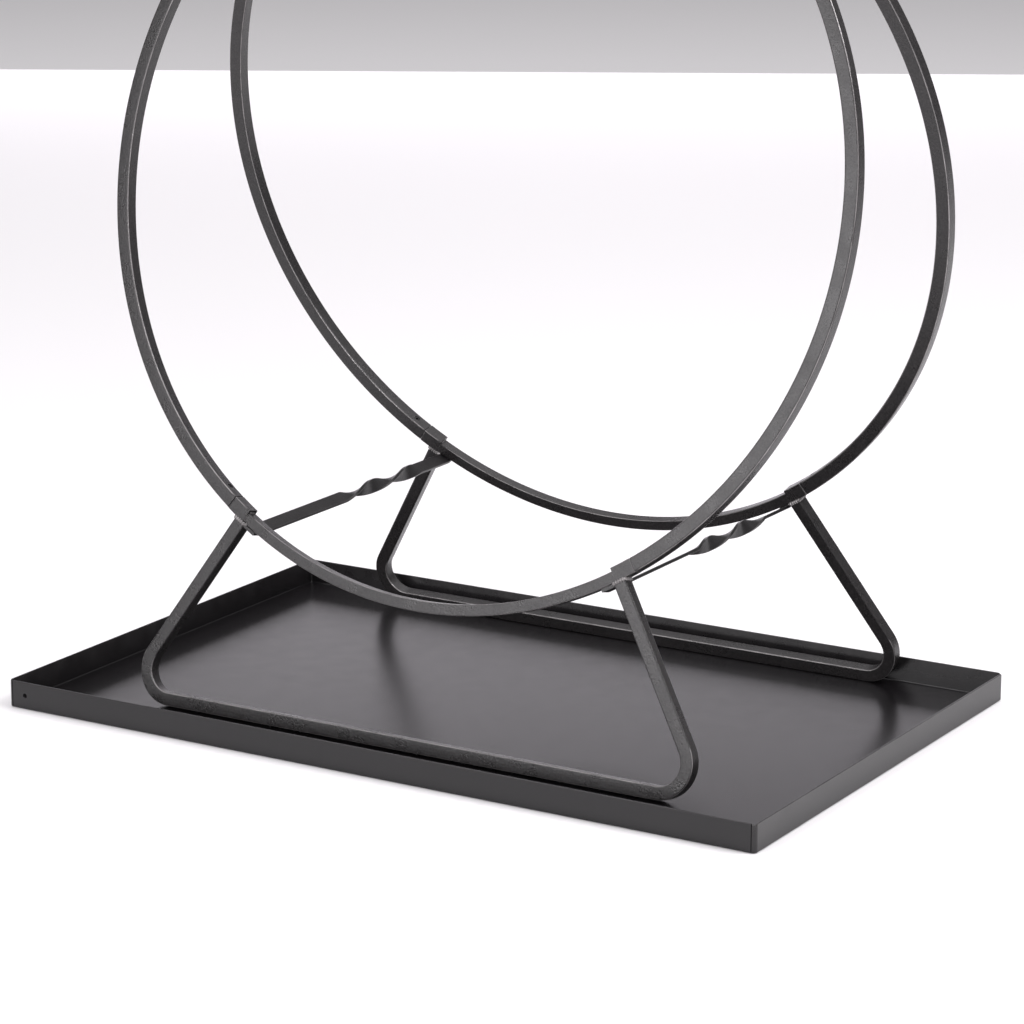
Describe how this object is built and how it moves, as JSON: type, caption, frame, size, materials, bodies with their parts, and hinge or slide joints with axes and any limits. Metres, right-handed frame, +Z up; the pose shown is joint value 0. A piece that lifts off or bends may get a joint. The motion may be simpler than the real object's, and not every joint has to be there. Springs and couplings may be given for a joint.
{
  "type": "firewood log rack",
  "caption": "Black steel firewood rack: leaning round hoops meet at the top, stand on bent bar feet tied by twisted crossbars, loose in a lipped rectangular tray.",
  "frame": {"origin": "centre of the tray's underside, on the ground", "axes": "+X along the tray's long side and across the hoops, +Y from the front lip to the rear lip, +Z up"},
  "size_m": [0.76, 0.484, 0.8462],
  "materials": {
    "tray_coat": "satin black powder coat",
    "foot_coat": "satin black powder coat",
    "arc_coat": "satin black powder coat",
    "joint_coat": "satin black powder coat",
    "hoop_coat": "satin black powder coat",
    "crossbar_coat": "satin black powder coat",
    "screw_black_oxide": "black oxide"
  },
  "bodies": {
    "tray": {"tray": "tray_coat"},
    "rack": {"foot_front": "foot_coat", "foot_rear": "foot_coat", "lower_arc_front": "arc_coat", "lower_arc_rear": "arc_coat", "joint_front_left": "joint_coat", "joint_front_right": "joint_coat", "joint_rear_left": "joint_coat", "joint_rear_right": "joint_coat", "hoop_front_left": "hoop_coat", "hoop_front_right": "hoop_coat", "hoop_rear_left": "hoop_coat", "hoop_rear_right": "hoop_coat", "crossbar_left": "crossbar_coat", "crossbar_right": "crossbar_coat", "top_coupler": "joint_coat", "screw_front_left_low": "screw_black_oxide", "screw_front_left_top": "screw_black_oxide", "screw_front_right_low": "screw_black_oxide", "screw_front_right_top": "screw_black_oxide", "screw_rear_left_low": "screw_black_oxide", "screw_rear_left_top": "screw_black_oxide", "screw_rear_right_low": "screw_black_oxide", "screw_rear_right_top": "screw_black_oxide"}
  },
  "joints": [
    {"name": "rack_lift", "type": "slide", "parent": "tray", "child": "rack", "axis": [0, 0, 1], "range_m": [0, 0.05]}
  ]
}
